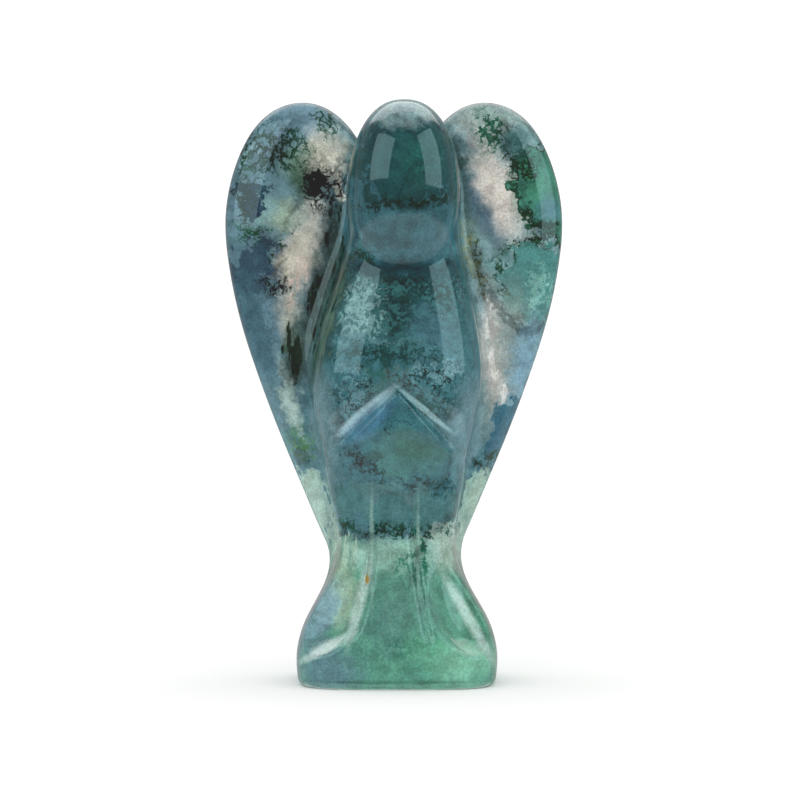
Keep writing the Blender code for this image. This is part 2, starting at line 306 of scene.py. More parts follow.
@dataclass(frozen=True)
class Wings:
    """The pair of leaf-shaped wings."""

    gown: Gown
    span: float = 29.2 * MM
    thickness: float = 5.5 * MM
    offset: float = -0.2 * MM
    edge: float = 3.3
    set_back: float = 0.32
    sweep: float = 0.03
    outline: tuple[tuple[float, float], ...] = (
        (0.565, 0.9965), (0.790, 0.965), (0.940, 0.888), (1.000, 0.800), (0.980, 0.715), (0.912, 0.620),
        (0.802, 0.520), (0.665, 0.415), (0.518, 0.312), (0.383, 0.222), (0.275, 0.172), (0.140, 0.235),
        (0.040, 0.360), (0.005, 0.520), (0.010, 0.700), (0.070, 0.835), (0.195, 0.925), (0.370, 0.982),
    )
    heart: tuple[float, float] = (0.46, 0.665)

    def reach(self, angle: Array) -> Array:
        """Find the outline's distance from the wing's heart.

        Args:
            angle: Directions from the heart, in radians.

        Returns:
            The distance in each direction.
        """
        scale = np.array((0.5 * self.span, self.gown.height))
        offsets = (np.array(self.outline) - self.heart) * scale
        angles = np.arctan2(offsets[:, 1], offsets[:, 0])
        order = np.argsort(angles)
        angles, reaches = angles[order], np.hypot(*offsets.T)[order]
        turn, wrap = 2 * np.pi, 4
        angles = np.concatenate([angles[-wrap:] - turn, angles, angles[:wrap] + turn])
        reaches = np.concatenate([reaches[-wrap:], reaches, reaches[:wrap]])
        return 1.0 / natural_spline(angles, 1.0 / reaches, angle)

    def form(self, x: Array, y: Array, z: Array) -> Array:
        """Measure how far points stand from the wings' surface.

        Args:
            x: Sideways places.
            y: Places from front to back.
            z: Heights.

        Returns:
            Distances, negative inside.
        """
        from_middle = np.abs(x - self.offset)
        across = from_middle - self.heart[0] * 0.5 * self.span
        up = z - self.heart[1] * self.gown.height
        outward = np.hypot(across, up) / self.reach(np.arctan2(up, across))
        tip_share = from_middle / (0.5 * self.span)
        middle = (self.set_back + self.sweep * tip_share**2) * self.gown.body_depth
        through = np.abs(y - middle) / (0.5 * self.thickness)
        reach = (outward**self.edge + through**self.edge + TINY) ** (1.0 / self.edge)
        return (reach - 1.0) * 0.5 * self.thickness


@dataclass(frozen=True)
class Cuts:
    """What is cut into the front: the praying hands, the gown's flutes and a scoop at each corner.

    Places without a unit are shares of the gown's width, depth and height.
    """

    gown: Gown
    fingertips: tuple[float, float] = (0.007, 0.517)
    elbows: tuple[tuple[float, float], ...] = ((-0.330, 0.415), (0.335, 0.410))
    hand_depth: float = 0.8 * MM
    hand_bevel: float = 2.3 * MM
    hand_wall: float = 0.5 * MM
    hand_sweep: float = 1.5
    hand_run_out: tuple[float, float] = (0.7, 1.1)
    hand_run_in: float = 0.1
    hand_rise: float = 0.35 * MM
    hand_width: float = 2.9 * MM
    hand_heights: tuple[float, float] = (0.347, 0.547)
    finger_groove: float = 0.55 * MM
    groove_top: float = 0.555
    flute_lines: tuple[tuple[tuple[float, ...], tuple[float, ...]], ...] = (
        ((-0.222, -0.140, -0.112, -0.120), (0.076, 0.170, 0.256, 0.338)),
        ((0.172, 0.120, 0.085, 0.072), (0.068, 0.162, 0.248, 0.338)),
    )
    flute_width: float = 1.15 * MM
    flute_depth: float = 0.42 * MM
    flute_run_out: float = 1.75 * MM
    scoop_middle: tuple[float, float, float] = (0.410, -0.540, 0.176)
    scoop_radii: tuple[float, float, float] = (0.280, 0.330, 0.130)
    scoop_splay: float = np.radians(15.0)
    scoop_round: float = 0.2 * MM
    front_fade: tuple[float, float] = (-0.16, -0.04)

    def hands(self, x: Array, z: Array) -> Array:
        """Find how deep the praying hands are cut.

        Args:
            x: Sideways places on the front.
            z: Heights on the front.

        Returns:
            Depths, negative where the hands stand proud.
        """
        tall, wide = self.gown.height, self.gown.body_width
        top_x, top_z = self.fingertips[0] * wide, self.fingertips[1] * tall
        chevron = np.zeros_like(x)
        for elbow_x, elbow_z in self.elbows:
            run, rise = elbow_x * wide - top_x, elbow_z * tall - top_z
            length = np.hypot(run, rise)
            share = ((x - top_x) * run + (z - top_z) * rise) / length**2
            above = ((z - top_z) * abs(run) - (x - top_x) * rise * np.sign(run)) / length
            bevel = np.clip(1.0 - above / self.hand_bevel, 0.0, 1.0) ** self.hand_sweep
            wall = fade(-above, 0.0, self.hand_wall)
            run_out = fade(share, *self.hand_run_out) * fade(-share, 0.0, self.hand_run_in)
            chevron = np.maximum(chevron, np.where(above > 0, bevel, wall) * run_out)
        bottom, top = (share * tall for share in self.hand_heights)
        groove = np.exp(-(((x - top_x) / (0.5 * self.finger_groove)) ** 2))
        groove = groove * hump(z, top_z, self.groove_top * tall)
        hands = np.exp(-(((x - top_x) / self.hand_width) ** 2)) * hump(z, bottom, top)
        return self.hand_depth * chevron + self.flute_depth * groove - self.hand_rise * hands

    def flutes(self, x: Array, z: Array) -> Array:
        """Find how deep the gown's flutes are.

        Args:
            x: Sideways places on the front.
            z: Heights on the front.

        Returns:
            Depths of the two flutes.
        """
        tall, hem = self.gown.height, self.gown.hem_width
        depth = np.zeros_like(x)
        for across, up in self.flute_lines:
            heights = tuple(share * tall for share in up)
            away = np.abs(x - natural_spline(heights, tuple(share * hem for share in across), z))
            run_out = fade(z, heights[-1] - self.flute_run_out, heights[-1])
            run_out = run_out * fade(-z, -heights[0] - self.flute_run_out, -heights[0])
            depth = np.maximum(depth, self.flute_depth * fade(away, 0.0, 0.5 * self.flute_width) * run_out)
        return depth

    def scoops(self, x: Array, y: Array, z: Array) -> Array:
        """Measure how far points stand from the two rounded cutters at the gown's corners.

        Args:
            x: Sideways places.
            y: Places from front to back.
            z: Heights.

        Returns:
            Distances, negative inside a cutter.
        """
        sizes = np.array((self.gown.hem_width, self.gown.hem_depth, self.gown.height))
        side, front, height = self.scoop_middle * sizes
        radii = self.scoop_radii * sizes
        up, across = turned(z - height, np.abs(x) - side, self.scoop_splay)
        parts = across / radii[0], (y - front) / radii[1], up / radii[2]
        return (np.sqrt(sum(p**2 for p in parts)) - 1.0) * min(radii)

    def applied(self, body: Array, x: Array, y: Array, z: Array) -> Array:
        """Cut the gown.

        Args:
            body: The uncut gown's values.
            x: Sideways places.
            y: Places from front to back.
            z: Heights.

        Returns:
            The cut gown's values.
        """
        on_front = fade(y, *(share * self.gown.body_depth for share in self.front_fade))
        cut = body + (self.hands(x, z) + self.flutes(x, z)) * on_front
        return -blended_union(-cut, self.scoops(x, y, z), self.scoop_round)


class Texture(Enum):
    """How a colour zone lies in the stone."""

    EVEN = "soft-edged and even"
    TORN = "solid in the middle, with torn edges"
    LACE = "broken up all over"
    STRANDS = "thin branching lines"
    FIBRES = "streaks along the height"
    STILL = "soft-edged, and in line with the carving"


EVEN, TORN, LACE, STRANDS, FIBRES, STILL = Texture


@dataclass(frozen=True)
class Clouds:
    """A cloudy pattern.

    Scale is how many clouds fit in a millimetre, detail how many finer layers they have and rough how
    strong those are. What is below low counts as none, and what is above high as full.
    """

    scale: float
    detail: float
    low: float
    high: float
    rough: float = 0.5


@dataclass(frozen=True)
class Pattern:
    """What breaks a zone up: clouds, or the lines halfway up them if it has a thinness.

    Cover is how fully it covers a zone, and squeeze is the share of the height's scale that is left.
    """

    clouds: Clouds
    cover: float
    thinness: float = 0.0
    squeeze: float = 1.0


PATTERNS = {
    TORN: Pattern(Clouds(0.85, 9, 0.36, 0.64, 0.64), 1.25),
    LACE: Pattern(Clouds(0.95, 8, 0.3, 0.7, 0.66), 0.85, thinness=3.6),
    STRANDS: Pattern(Clouds(0.5, 6, 0.3, 0.7, 0.6), 0.65, thinness=9.0),
    FIBRES: Pattern(Clouds(1.6, 6, 0.34, 0.66, 0.6), 0.85, squeeze=0.16),
}
PATTERN_EDGE = (1.0, 1.2)


@dataclass(frozen=True)
class ColourZone:
    """One patch of colour in the stone: an ellipsoid, with places and radii in millimetres.

    Tilt is in degrees, and a positive one leans the top to the viewer's left. Edge is how far the
    colour fades, as a share of the radii. Depth is the middle and the radius from front to back.
    """

    name: str
    colour: str
    at: tuple[float, float]
    radii: tuple[float, float]
    tilt: int = 0
    edge: float = 0.5
    texture: Texture = Texture.EVEN
    depth: tuple[float, float] = (-1.0, 9.0)


WING = (5.0, 5.0)
# Skin zones lie just under the front surface and keep in line with the carving. Most carry painted
# highlights and painted shade along the hands, flutes and scoops; the amber fleck is the stone's own colour.
SKIN = (-6.0, 5.5)
wing_zone = partial(ColourZone, depth=WING)
skin_zone = partial(ColourZone, texture=STILL, depth=SKIN)

COLOUR_ZONES = (
    # Gown
    ColourZone("gown", "#5f9a86", (0.0, 4.3), (12.0, 9.4), 0, 0.1, TORN),
    ColourZone("gown pale band", "#8bb0a2", (0.0, 11.4), (7.0, 1.7)),
    ColourZone("gown right cream", "#a9bfb2", (4.4, 12.0), (1.3, 2.4), 15, 0.4),
    ColourZone("gown left cream", "#a4c1b0", (-4.9, 11.5), (1.3, 2.6), 0, 0.4, FIBRES),
    ColourZone("gown middle", "#5b847c", (-0.1, 6.4), (2.7, 3.4), 0, 0.6),
    ColourZone("gown moss drift", "#47806d", (1.4, 10.2), (1.6, 1.5), 0, 0.6, LACE),
    ColourZone("gown low moss", "#3c7763", (1.6, 3.6), (3.2, 1.4), 0, 0.5, LACE),
    ColourZone("gown lime", "#a3bda4", (-4.6, 8.0), (1.3, 3.0), 5, 0.4),
    ColourZone("gown left slate", "#7f9faa", (-6.8, 6.2), (1.6, 3.4), -30),
    ColourZone("hem left slate", "#6b8d97", (-6.0, 1.6), (3.2, 2.3)),
    ColourZone("hem green", "#68aa8d", (4.6, 2.6), (4.4, 2.8), 0, 0.6),
    ColourZone("hem bright green", "#8fc9ae", (5.9, 2.2), (2.4, 1.6), 0, 0.7),
    ColourZone("flare green", "#5a957c", (7.0, 6.0), (1.3, 3.0), 25, 0.4),
    # Torso
    ColourZone("torso", "#3c6a72", (0.3, 25.9), (8.5, 12.4), 0, 0.12, TORN),
    ColourZone("chest", "#376363", (0.5, 32.0), (5.6, 4.6), 0, 0.4),
    ColourZone("chest grain", "#1d3a3a", (0.5, 33.2), (5.6, 4.0), 0, 0.4, LACE),
    ColourZone("chest specks", "#79a19f", (-2.8, 31.4), (1.9, 3.4), -10, 0.5, LACE),
    ColourZone("chest blue", "#46707c", (3.0, 30.2), (1.9, 2.4), 0, 0.6),
    ColourZone("chest veil", "#5b898e", (-1.0, 29.3), (5.0, 0.6), -5, 0.6, LACE),
    # Painted shade in the crease between the torso and the left wing, streaked with dark moss.
    ColourZone("left flank", "#1c3128", (-6.3, 32.8), (1.9, 8.2), -10, 0.4),
    ColourZone("left flank streaks", "#46604f", (-6.3, 32.6), (1.5, 7.2), -10, 0.4, FIBRES),
    ColourZone("left flank moss and shade", "#1c3126", (-6.0, 35.6), (1.1, 5.0), -15, 0.5, FIBRES),
    ColourZone("torso green", "#2f5f58", (-1.4, 26.6), (3.0, 1.7), 0, 0.6, LACE),
    ColourZone("torso mist", "#67929a", (3.6, 27.2), (2.4, 1.3), 0, 0.6, LACE),
    ColourZone("torso left mist", "#5d868c", (-3.8, 25.0), (1.6, 2.6), 0, 0.6, LACE),
    ColourZone("torso veins", "#17302f", (1.2, 26.6), (5.4, 3.6), 0, 0.6, STRANDS),
    ColourZone("torso low veins", "#17302f", (-1.8, 23.6), (4.8, 3.4), 0, 0.6, STRANDS),
    ColourZone("torso wisps", "#1f4341", (-1.0, 28.4), (5.4, 1.0), 5, 0.5, LACE),
    ColourZone("torso right wisps", "#1f4341", (3.4, 24.2), (2.6, 1.0), -15, 0.5, LACE),
    ColourZone("left hip haze", "#66848a", (-5.9, 21.6), (1.3, 5.4), 5, 0.4),
    ColourZone("right hip haze", "#6b8c95", (5.8, 21.8), (1.4, 4.4), -5, 0.4),
    # Painted highlights along the upper edges of the hands' bevels, and painted shade on the left bevel
    # below its highlight.
    skin_zone("hands blue", "#a9cbd3", (-2.6, 23.5), (3.2, 0.5), 40, 0.4),
    skin_zone("hands blue fall", "#4c7a94", (-2.3, 22.7), (2.6, 0.8), 40, 0.5),
    skin_zone("hands right gleam", "#9cc4c8", (2.4, 23.75), (2.9, 0.24), -40, 0.4),
    ColourZone("cloud", "#457573", (1.0, 19.9), (3.4, 2.4), 0, 0.3, TORN),
    ColourZone("cloud heart", "#3b6359", (1.4, 20.6), (1.8, 1.1)),
    ColourZone("cloud stroke", "#173433", (-2.7, 19.3), (2.1, 0.9), -30, 0.5, LACE),
    ColourZone("cloud outline", "#1c3f3d", (1.2, 17.2), (3.8, 0.8), 0, 0.5, LACE),
    ColourZone("slate belt", "#4d7678", (0.0, 15.6), (7.0, 1.9), -5, 0.3, TORN),
    ColourZone("belt edge", "#1a463a", (-0.4, 13.6), (5.6, 0.6), -5, 0.5, LACE),
    ColourZone("belt root", "#2b6a55", (2.1, 11.4), (0.3, 1.6), 10, 0.5, LACE),
    # Painted highlights along the flutes and the scoops.
    skin_zone("left flute gleam", "#8fb3aa", (-2.05, 11.8), (0.16, 4.0), 0, 0.8),
    skin_zone("right flute gleam", "#86ab9f", (1.9, 11.6), (0.14, 3.6), 0, 0.8),
    skin_zone("scoop gleam left", "#c3dad3", (-5.9, 3.5), (2.7, 0.35), 30, 0.5),
    skin_zone("scoop streak left", "#b9d0c6", (-3.1, 7.4), (0.45, 3.4), -15, 0.5),
    skin_zone("scoop gleam right", "#bfd9cf", (6.1, 6.0), (0.45, 4.2), 30, 0.5),
    skin_zone("amber fleck", "#cf9a4c", (-2.45, 9.25), (0.18, 0.38), 0, 0.3),
    # Head
    ColourZone("head", "#3f6b75", (0.7, 42.8), (6.4, 8.9), 0, 0.15, TORN),
    ColourZone("crown", "#2a5052", (0.8, 44.4), (4.9, 4.9), 0, 0.25, TORN),
    ColourZone("crown green", "#2b5f58", (1.8, 44.6), (1.6, 2.2), 0, 0.6),
    # Painted highlight along the top of the crown.
    ColourZone("crown highlight", "#a6c4c6", (0.7, 49.3), (3.6, 1.3), 0, 0.6),
    ColourZone("crown line", "#14382f", (0.8, 41.3), (4.7, 0.7), 5, 0.5, LACE),
    ColourZone("jaw", "#436d77", (0.8, 38.6), (4.4, 2.3), 0, 0.3),
    ColourZone("jaw moss", "#1d3f33", (-2.8, 36.6), (1.1, 0.5), -25, 0.6, LACE),
    ColourZone("neck shade", "#1c373c", (0.5, 35.7), (4.8, 0.9), 0, 0.6),
    # Left wing
    wing_zone("left wing body", "#64828e", (-9.5, 36.0), (6.5, 16.0), 20, 0.3),
    wing_zone("left wing top", "#7f9fae", (-8.3, 48.4), (4.5, 2.2)),
    wing_zone("left wing inner top", "#61808e", (-9.6, 47.9), (2.8, 0.9), 15),
    wing_zone("left wing slate", "#3b5262", (-12.0, 35.8), (2.6, 3.4), -25, 0.4, TORN),
    wing_zone("left wing blue", "#43626f", (-12.3, 31.5), (2.2, 4.6), 15),
    wing_zone("left wing haze", "#62818f", (-11.0, 31.6), (1.0, 3.4), 15, 0.6, LACE),
    wing_zone("left wing pale window", "#76999a", (-11.0, 40.6), (1.8, 2.0), 0, 0.4),
    wing_zone("left wing outer slate", "#283a4b", (-12.3, 41.1), (0.9, 2.0), 10, 0.3, TORN),
    wing_zone("left wing outer bar", "#2a3c49", (-12.9, 42.5), (1.6, 0.6), 0, 0.4, TORN),
    wing_zone("left wing outer moss", "#16302a", (-13.0, 41.4), (1.0, 2.6), -10, 0.5, LACE),
    wing_zone("left wing pale edge", "#6f8f9e", (-13.9, 40.8), (0.4, 1.5), 0, 0.4),
    wing_zone("left wing pale fleck", "#8fb0ba", (-12.5, 45.2), (0.5, 1.3), -35, 0.4),
    wing_zone("left wing green glow", "#75907a", (-8.1, 44.2), (2.0, 1.9), 0, 0.6),
    wing_zone("left wing lime", "#93a795", (-9.5, 40.3), (1.6, 1.5)),
    wing_zone("left wing cream band", "#bfbcae", (-8.3, 36.7), (1.9, 5.8), -15, 0.35),
    wing_zone("left wing rose band", "#c6b8b0", (-8.2, 34.6), (0.9, 4.2), -15, 0.5, FIBRES),
    wing_zone("left wing cream window", "#d5d3c4", (-6.1, 45.1), (2.1, 2.5)),
    wing_zone("left wing cells", "#c4c8bc", (-4.7, 42.6), (0.8, 2.6), 0, 0.4, TORN),
    wing_zone("left wing moss shade", "#35513f", (-8.0, 42.8), (1.6, 1.5), 0, 0.6),
    wing_zone("left wing cream foot", "#abb1a5", (-8.7, 31.0), (1.0, 2.4), 0, 0.6),
    # Painted shade in the crease between the left wing and the torso, streaked with dark moss fibres.
    wing_zone("left wing seam shade", "#4a6156", (-8.5, 28.2), (1.1, 3.2), -10),
    wing_zone("left wing seam fibres", "#1d2e25", (-8.5, 28.4), (1.2, 3.6), -10, 0.4, FIBRES),
    wing_zone("left wing inner moss", "#2f443a", (-6.0, 33.5), (1.8, 8.2), -10, 0.4),
    wing_zone("left wing inner streaks", "#192b21", (-6.1, 33.6), (1.6, 7.6), -10, 0.4, FIBRES),
    wing_zone("left wing moss", "#1f4537", (-10.3, 45.7), (3.0, 2.4), -20, 0.4, LACE),
    wing_zone("left wing moss heart", "#17362b", (-10.4, 45.6), (2.2, 1.6), -20, 0.4, LACE),
    wing_zone("left wing moss tail", "#1f4537", (-12.0, 44.3), (1.3, 1.1), 0, 0.7, LACE),
    wing_zone("left wing top moss", "#2c4c40", (-6.0, 48.0), (1.0, 1.5), 20, 0.7, LACE),
    wing_zone("left wing black moss", "#101c15", (-5.9, 42.3), (2.7, 2.6), 20, 0.5, LACE),
    wing_zone("left wing black heart", "#0b140f", (-6.7, 42.9), (1.35, 1.3), 20, 0.4, TORN),
    wing_zone("left wing dark line", "#1d372b", (-9.9, 37.6), (0.45, 2.8), -30, 0.5, LACE),
    wing_zone("left wing curl", "#225539", (-12.2, 38.5), (1.7, 1.1), 0, 0.5, LACE),
    wing_zone("left wing scribble", "#10221e", (-10.3, 34.0), (1.7, 1.3), 0, 0.5, LACE),
    wing_zone("left wing lower blue", "#50717e", (-10.6, 25.2), (1.7, 4.8), 20),
    wing_zone("left wing pale streak", "#a6bdb5", (-8.8, 23.6), (0.7, 4.2), 15, 0.6),
    wing_zone("left wing green foot", "#527f5c", (-8.0, 20.4), (1.7, 1.5), 0, 0.6, LACE),
    wing_zone("left wing tip", "#a3beb3", (-6.8, 15.0), (2.3, 4.0), 25, 0.3, TORN),
    # Right wing
    wing_zone("right wing body", "#7f9ea1", (9.5, 36.0), (6.5, 16.0), -20, 0.3),
    wing_zone("right wing top", "#98aeab", (8.0, 48.6), (4.0, 2.0)),
    wing_zone("right wing cream band", "#cfc8c0", (8.7, 42.4), (2.0, 5.8), 25, 0.35),
    wing_zone("right wing slate streak", "#4f6878", (7.4, 40.4), (0.9, 4.0), 30, 0.6),
    wing_zone("right wing inner shade", "#3d5350", (5.6, 42.5), (0.7, 5.0), 10),
    wing_zone("right wing lobe rim", "#1f4232", (12.45, 42.0), (2.7, 4.9), 20, 0.15, TORN),
    wing_zone("right wing green lobe", "#458170", (12.5, 42.0), (2.3, 4.4), 20, 0.15, TORN),
    wing_zone("right wing bright green", "#4a8a72", (12.2, 41.8), (1.1, 1.8), 0, 0.6),
    wing_zone("right wing lobe shade", "#4d7a86", (13.0, 40.3), (1.1, 1.3), 0, 0.6),
    wing_zone("right wing lobe moss", "#183a2b", (10.4, 45.2), (1.5, 3.0), 25, 0.5, LACE),
    wing_zone("right wing crest", "#285541", (7.9, 47.0), (1.4, 2.0), 10, 0.5, LACE),
    wing_zone("right wing top shade", "#3f6564", (10.3, 46.8), (1.6, 1.3), 20),
    wing_zone("right wing teal rim", "#1d4130", (11.1, 34.4), (3.7, 4.6), 0, 0.2, LACE),
    wing_zone("right wing teal mass", "#518784", (11.6, 34.4), (3.4, 4.2), 0, 0.2, TORN),
    wing_zone("right wing pale teal", "#7fb1a8", (12.2, 33.6), (1.4, 2.2), 0, 0.6, LACE),
    wing_zone("right wing olive", "#263a25", (6.9, 35.6), (1.1, 3.6), 10, 0.4, LACE),
    wing_zone("right wing olive heart", "#5d6b4b", (6.9, 35.6), (0.6, 2.6), 10),
    wing_zone("right wing seam line", "#1d4130", (12.0, 37.85), (2.6, 0.35), -5, 0.5, LACE),
    wing_zone("right wing lobe foot", "#1f4232", (12.8, 38.9), (1.7, 0.4), 5, 0.4, TORN),
    wing_zone("right wing lower line", "#1d4130", (11.0, 30.6), (2.0, 0.5), -25, 0.5, LACE),
    wing_zone("right wing olive light", "#7f8a5e", (6.3, 37.6), (0.4, 2.2), 10),
    wing_zone("right wing pale field", "#93a39f", (8.9, 27.6), (2.1, 6.6), -10),
    wing_zone("right wing rose streak", "#bfb8b2", (8.1, 28.4), (1.4, 5.6), 5),
    wing_zone("right wing bright streak", "#d9d9d2", (8.5, 28.4), (0.8, 5.0), 5, 0.5, FIBRES),
    wing_zone("right wing sky streak", "#7ba0b2", (11.0, 27.4), (1.1, 4.6), -15),
    wing_zone("right wing blue foot", "#3f6a7b", (9.4, 21.8), (1.6, 3.2), -20, 0.3, TORN),
    wing_zone("right wing foot line", "#1b3d33", (7.9, 18.9), (1.8, 0.6), 25, 0.5, LACE),
    wing_zone("right wing tip", "#9db9ab", (6.6, 14.8), (2.2, 3.4), -25, 0.3, TORN),
    wing_zone("right wing tip green", "#7fa597", (7.9, 15.2), (0.6, 3.0), -25),
)


@dataclass(frozen=True)
class AgateFinish:
    """Polished moss agate, see-through, with its colour zones: mineral colour, and some painted highlights
    and painted shade.

    A swirl is a scale and a reach in millimetres. A light is the pair of factors between which a pattern
    darkens and lightens the colour. Richness and body dark make up for what the polish reflects.
    """

    swirls: tuple[tuple[float, float], ...] = ((0.3, 0.7), (1.2, 0.35), (4.5, 0.12))
    ground_clouds: Clouds = Clouds(0.16, 4, 0.35, 0.68)
    veils: Clouds = Clouds(0.9, 6, 0.25, 0.75)
    veil_light: tuple[float, float] = (0.8, 1.18)
    grain: Clouds = Clouds(5.0, 4, 0.3, 0.7)
    grain_light: tuple[float, float] = (0.84, 1.14)
    dust: Clouds = Clouds(5.5, 3, 0.60, 0.68)
    dust_share: float = 0.14
    ground: str = "#5f8a92"
    ground_deep: str = "#3f6670"
    moss_stain: str = "#27443a"
    roughness: float = 0.045
    index: float = 1.54
    clearness: float = 0.52
    milkiness: float = 0.3
    milk_reach: float = 0.6 * MM
    milk_tint: tuple[float, float, float] = (0.5, 1.0, 1.0)
    richness: float = 1.27
    body_dark: float = 0.024

    def material(self) -> bpy.types.Material:
        """Make the stone's material.

        Returns:
            The material, with colour zones fixed in the stone.
        """
        material = bpy.data.materials.new("moss_agate")
        material.use_nodes = True
        paint = Paint(material)
        ground, ground_deep = paint.tone(self.ground), paint.tone(self.ground_deep)
        colour = paint.mix(paint.noise(self.ground_clouds), ground, ground_deep)
        textures = {texture: paint.texture(pattern) for texture, pattern in PATTERNS.items()}
        warped = paint.warped(self.swirls)
        swirled = paint.leaned(warped, {zone.tilt for zone in COLOUR_ZONES if zone.texture is not STILL})
        still = paint.leaned(paint.place, {zone.tilt for zone in COLOUR_ZONES if zone.texture is STILL})
        for zone in COLOUR_ZONES:
            place = (still if zone.texture is STILL else swirled)[zone.tilt]
            colour = paint.zone(colour, place, textures, zone)
        colour = paint.scaled(colour, paint.noise(self.veils), *self.veil_light)
        colour = paint.scaled(colour, paint.noise(self.grain), *self.grain_light)
        dust = paint.value("MULTIPLY", paint.noise(self.dust), self.dust_share)
        colour = paint.mix(dust, colour, paint.tone(self.moss_stain))
        shader = paint.shader
        paint.links.new(paint.enriched(colour, self.richness, self.body_dark), shader.inputs["Base Color"])
        shader.inputs["Roughness"].default_value = self.roughness
        shader.inputs["IOR"].default_value = self.index
        shader.inputs["Transmission Weight"].default_value = self.clearness
        shader.inputs["Subsurface Weight"].default_value = self.milkiness
        shader.inputs["Subsurface Radius"].default_value = self.milk_tint
        shader.inputs["Subsurface Scale"].default_value = self.milk_reach
        return material


@dataclass(frozen=True)
class MossFinish:
    """Dull, dark green chlorite moss."""

    light: str = "#1f4230"
    dark: str = "#0a120d"
    clouds: Clouds = Clouds(0.9, 3, 0.35, 0.65)
    roughness: float = 0.7

    def material(self) -> bpy.types.Material:
        """Make the moss's material.

        Returns:
            The material, with its green varying from strand to strand.
        """
        material = bpy.data.materials.new("sealed_moss")
        material.use_nodes = True
        paint = Paint(material)
        colour = paint.mix(paint.noise(self.clouds), paint.tone(self.light), paint.tone(self.dark))
        paint.links.new(colour, paint.shader.inputs["Base Color"])
        paint.shader.inputs["Roughness"].default_value = self.roughness
        return material


